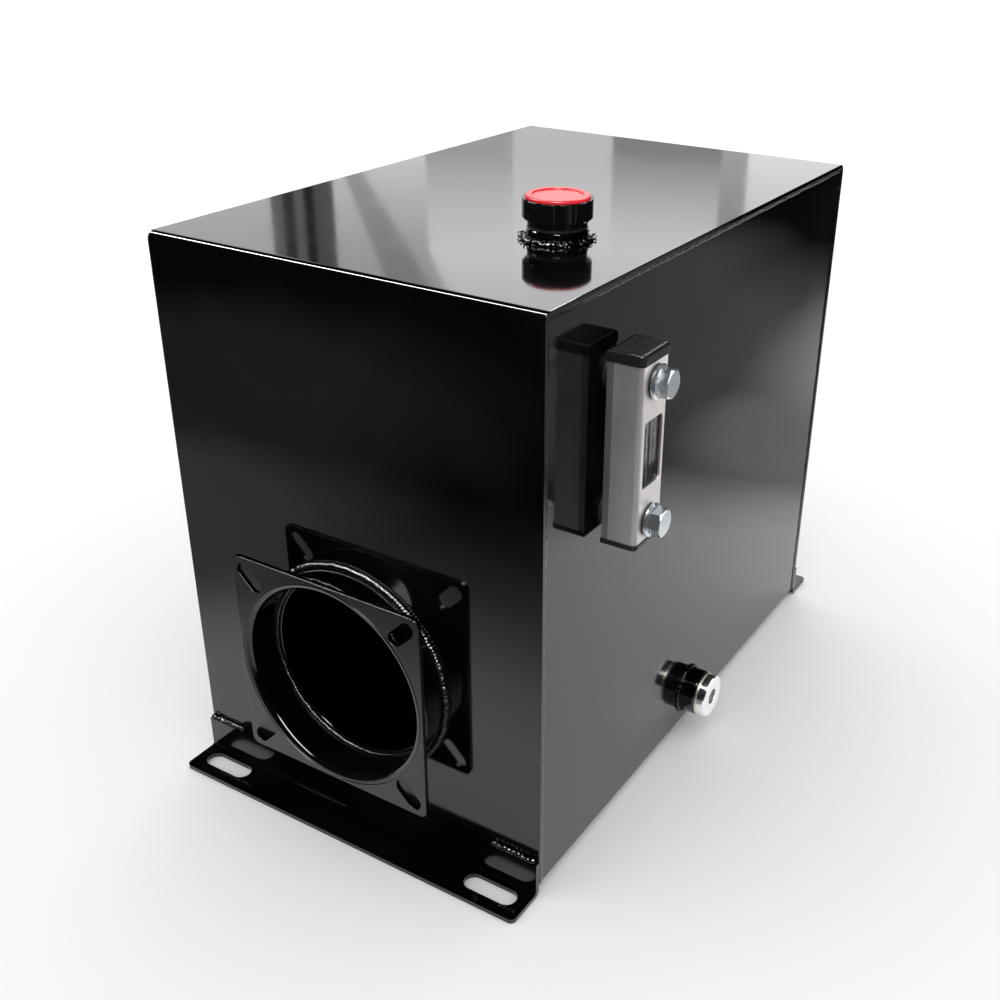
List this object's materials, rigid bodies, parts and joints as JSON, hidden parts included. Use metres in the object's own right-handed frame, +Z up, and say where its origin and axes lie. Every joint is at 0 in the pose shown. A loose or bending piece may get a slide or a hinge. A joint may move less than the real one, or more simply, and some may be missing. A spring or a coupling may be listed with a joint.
{
  "type": "hydraulic reservoir",
  "caption": "Welded black steel oil tank on slotted feet, with a square-flanged pump neck, breather filler cap, column sight gauge and side drain plug.",
  "frame": {"origin": "centre of the four foot slots, on the feet's underside", "axes": "+Z up, -Y out of the pump neck, +X towards the side with the sight gauge and drain"},
  "size_m": [0.2837, 0.439, 0.3656],
  "materials": {
    "black_paint": "gloss powder coat with slight orange peel",
    "gauge_aluminium": "satin anodised extrusion",
    "back_aluminium": "dull grey extrusion",
    "lens": "clear moulded",
    "reflector": "dark moulded strip",
    "black_plastic": "semi-matt moulded",
    "cap_plastic": "glass-filled nylon",
    "red_plastic": "satin moulded",
    "filter_foam": "open-cell foam",
    "rubber": "matt nitrile",
    "zinc_bolt": "bright zinc plated",
    "zinc_plug": "bright zinc plated, turned",
    "washer_alloy": "soft aluminium"
  },
  "bodies": {
    "tank": {"wrap_sheet": "black_paint", "floor_plate": "black_paint", "left_side_plate": "black_paint", "right_side_plate": "black_paint", "front_foot": "black_paint", "rear_foot": "black_paint", "neck_tube": "black_paint", "neck_flange": "black_paint", "filler_neck": "black_paint", "drain_boss": "black_paint", "gauge_weld_nuts": "black_paint", "gauge_back": "back_aluminium", "gauge_cover": "gauge_aluminium", "gauge_lens": "lens", "gauge_reflector": "reflector", "gauge_top_cap": "black_plastic", "gauge_bottom_cap": "black_plastic", "gauge_wall_seals": "rubber", "gauge_bolt_seals": "rubber", "gauge_bolts": "zinc_bolt"},
    "cap_seal": {"cap_gasket": "rubber"},
    "cap": {"cap_body": "cap_plastic", "cap_insert": "red_plastic", "cap_filter": "filter_foam"},
    "drain_seal": {"drain_washer": "washer_alloy"},
    "plug": {"drain_plug": "zinc_plug"}
  },
  "joints": [
    {"name": "cap_lift", "type": "slide", "parent": "tank", "child": "cap_seal", "axis": [0, 0, 1], "range_m": [0, 0.01269]},
    {"name": "cap_turn", "type": "hinge", "parent": "cap_seal", "child": "cap", "pos_m": [0.064, -0.082, 0.352], "axis": [0, 0, 1], "range_deg": [0, 2520]},
    {"name": "plug_draw", "type": "slide", "parent": "tank", "child": "drain_seal", "axis": [1, 0, 0], "range_m": [0, 0.01269]},
    {"name": "plug_turn", "type": "hinge", "parent": "drain_seal", "child": "plug", "pos_m": [0.1362, -0.004, 0.028], "axis": [1, 0, 0], "range_deg": [0, 2520]}
  ],
  "couplings": [
    {"joint": "cap_turn", "follows": "cap_lift", "rad_per_m": 3463.7},
    {"joint": "plug_turn", "follows": "plug_draw", "rad_per_m": 3463.7}
  ]
}
